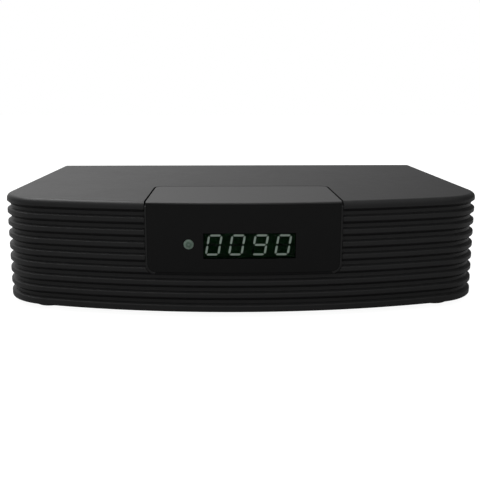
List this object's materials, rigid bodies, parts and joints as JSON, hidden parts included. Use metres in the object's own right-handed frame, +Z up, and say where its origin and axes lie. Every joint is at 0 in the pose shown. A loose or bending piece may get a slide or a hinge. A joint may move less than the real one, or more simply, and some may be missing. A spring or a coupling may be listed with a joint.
{
  "type": "satellite tv receiver",
  "caption": "Small satellite television receiver: ribbed black case with a bowed front, a smoked display window with lit digits, and a row of rear sockets.",
  "frame": {"origin": "under the middle of the whole part, sockets included, on the plane that the feet stand on", "axes": "+X to the right seen from the front, +Y towards the rear panel, +Z up"},
  "size_m": [0.1684, 0.1308, 0.0388],
  "materials": {
    "case_plastic": "black moulded plastic with a fine satin grain",
    "bezel_plastic": "black moulded plastic, slightly smoother than the case",
    "window_plastic": "smoked acrylic, polished, printed dark behind",
    "filter_plastic": "clear green-black acrylic over the digits",
    "module_plastic": "black potted face of the display",
    "lit_segment": "lit, pale grey green",
    "unlit_segment": "diffusing resin, not lit",
    "light_pipe_plastic": "milky green light pipe",
    "led_white": "white resin",
    "eye_plastic": "dark infrared-passing resin",
    "circuit_board": "glass fibre board with a green solder mask",
    "socket_plastic": "black nylon",
    "insulator_plastic": "white insulator",
    "av_plastic": "yellow nylon",
    "shutter_plastic": "black nylon",
    "rocker_plastic": "black, polished",
    "chip_plastic": "black epoxy",
    "coil_ferrite": "dark grey pressed ferrite",
    "capacitor_sleeve": "dark blue shrink sleeve",
    "red_emitter": "red resin",
    "pad_rubber": "grey thermal pad",
    "foot_rubber": "black rubber",
    "panel_steel": "black painted steel sheet",
    "tinned_steel": "bright tin plate",
    "plated_shell": "nickel-plated steel",
    "plated_zinc": "nickel-plated zinc casting",
    "screw_steel": "steel, blackened",
    "gold_contact": "gold-plated bronze",
    "sink_aluminium": "extruded, anodised"
  },
  "bodies": {
    "chassis": {"upper_case": "case_plastic", "lower_case": "case_plastic", "rear_panel": "panel_steel", "front_bezel": "bezel_plastic", "display_window": "window_plastic", "display_filter": "filter_plastic", "display_module": "module_plastic", "lit_segments": "lit_segment", "unlit_segments": "unlit_segment", "led_light_pipe": "light_pipe_plastic", "status_led": "led_white", "ir_receiver": "eye_plastic", "front_board": "circuit_board", "board_header": "socket_plastic", "main_board": "circuit_board", "main_board_screws": "screw_steel", "case_screws": "screw_steel", "foot_front_left": "foot_rubber", "foot_front_right": "foot_rubber", "foot_rear_left": "foot_rubber", "foot_rear_right": "foot_rubber", "tuner_frame": "tinned_steel", "tuner_lid": "tinned_steel", "lnb_input_socket": "plated_zinc", "lnb_output_socket": "plated_zinc", "lnb_insulators": "insulator_plastic", "lnb_washers": "plated_zinc", "lnb_nuts": "plated_zinc", "optical_socket": "socket_plastic", "optical_emitter": "red_emitter", "av_socket": "av_plastic", "video_socket_shell": "plated_shell", "video_socket_tongue": "socket_plastic", "network_socket": "plated_shell", "network_contacts": "gold_contact", "data_socket_shell": "plated_shell", "data_socket_tongues": "insulator_plastic", "power_socket": "socket_plastic", "power_socket_pin": "plated_zinc", "switch_housing": "socket_plastic", "main_processor": "chip_plastic", "thermal_pad": "pad_rubber", "heat_sink": "sink_aluminium", "memory_chips": "chip_plastic", "flash_chip": "chip_plastic", "capacitors": "capacitor_sleeve", "power_coils": "coil_ferrite", "crystal": "tinned_steel"},
    "power_rocker": {"switch_rocker": "rocker_plastic"},
    "optical_flap": {"optical_shutter": "shutter_plastic"}
  },
  "joints": [
    {"name": "rocker_pivot", "type": "hinge", "parent": "chassis", "child": "power_rocker", "pos_m": [-0.0645, 0.0555, 0.0165], "axis": [0, 0, -1], "range_deg": [0, 22]},
    {"name": "shutter_hinge", "type": "hinge", "parent": "chassis", "child": "optical_flap", "pos_m": [0.03307, 0.0548, 0.01815], "axis": [-1, 0, 0], "range_deg": [0, 85], "stiffness_Nm_per_rad": 0.0002, "springref_deg": -28.65}
  ]
}
